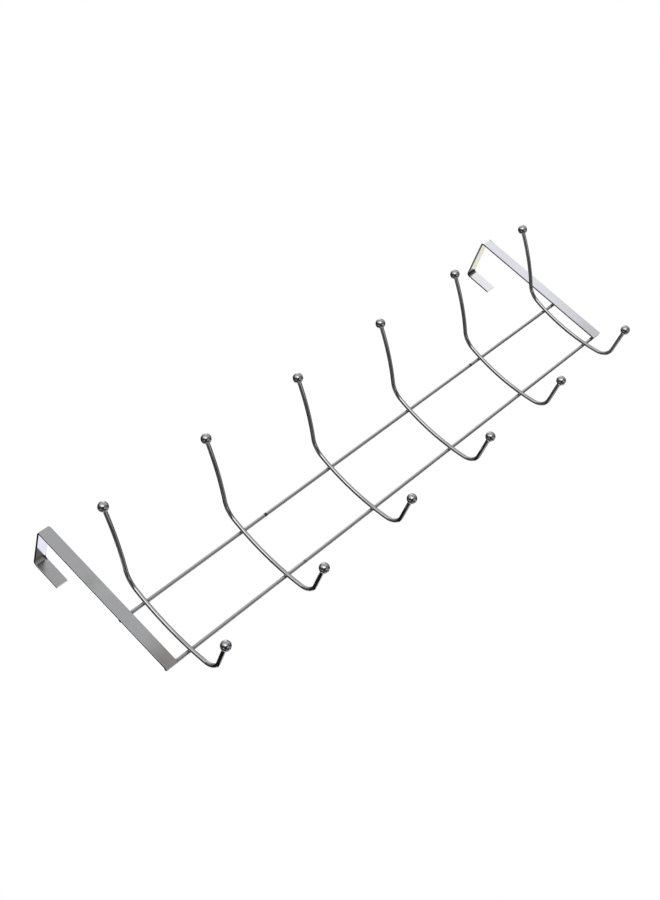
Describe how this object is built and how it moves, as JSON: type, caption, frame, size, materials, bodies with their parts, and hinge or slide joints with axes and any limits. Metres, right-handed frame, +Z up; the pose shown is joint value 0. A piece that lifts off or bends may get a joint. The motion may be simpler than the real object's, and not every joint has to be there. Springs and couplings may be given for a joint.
{
  "type": "over door hook rack",
  "caption": "Chromed wire coat rack that hangs on a door: folded flat-bar straps carry wire rails and a row of hooks, each with a long upper and a short lower ball-tipped prong.",
  "frame": {"origin": "on the line of the door's top front edge, midway between the straps: in the plane of the arms' backs and of the webs' undersides", "axes": "+X along the rails, +Y back through the door from the hooks to the lips, +Z up; the door's top presses on the webs from -Z"},
  "size_m": [0.494, 0.0972, 0.1549],
  "materials": {
    "strap_chrome": "bright plating on rolled flat bar",
    "wire_chrome": "bright plating on drawn wire",
    "ball_chrome": "mirror plating on solid balls"
  },
  "bodies": {
    "root": {"left_strap": "strap_chrome", "right_strap": "strap_chrome", "upper_rail": "wire_chrome", "lower_rail": "wire_chrome", "hook_1": "wire_chrome", "hook_2": "wire_chrome", "hook_3": "wire_chrome", "hook_4": "wire_chrome", "hook_5": "wire_chrome", "hook_6": "wire_chrome", "upper_ball_1": "ball_chrome", "upper_ball_2": "ball_chrome", "upper_ball_3": "ball_chrome", "upper_ball_4": "ball_chrome", "upper_ball_5": "ball_chrome", "upper_ball_6": "ball_chrome", "lower_ball_1": "ball_chrome", "lower_ball_2": "ball_chrome", "lower_ball_3": "ball_chrome", "lower_ball_4": "ball_chrome", "lower_ball_5": "ball_chrome", "lower_ball_6": "ball_chrome"}
  },
  "joints": []
}
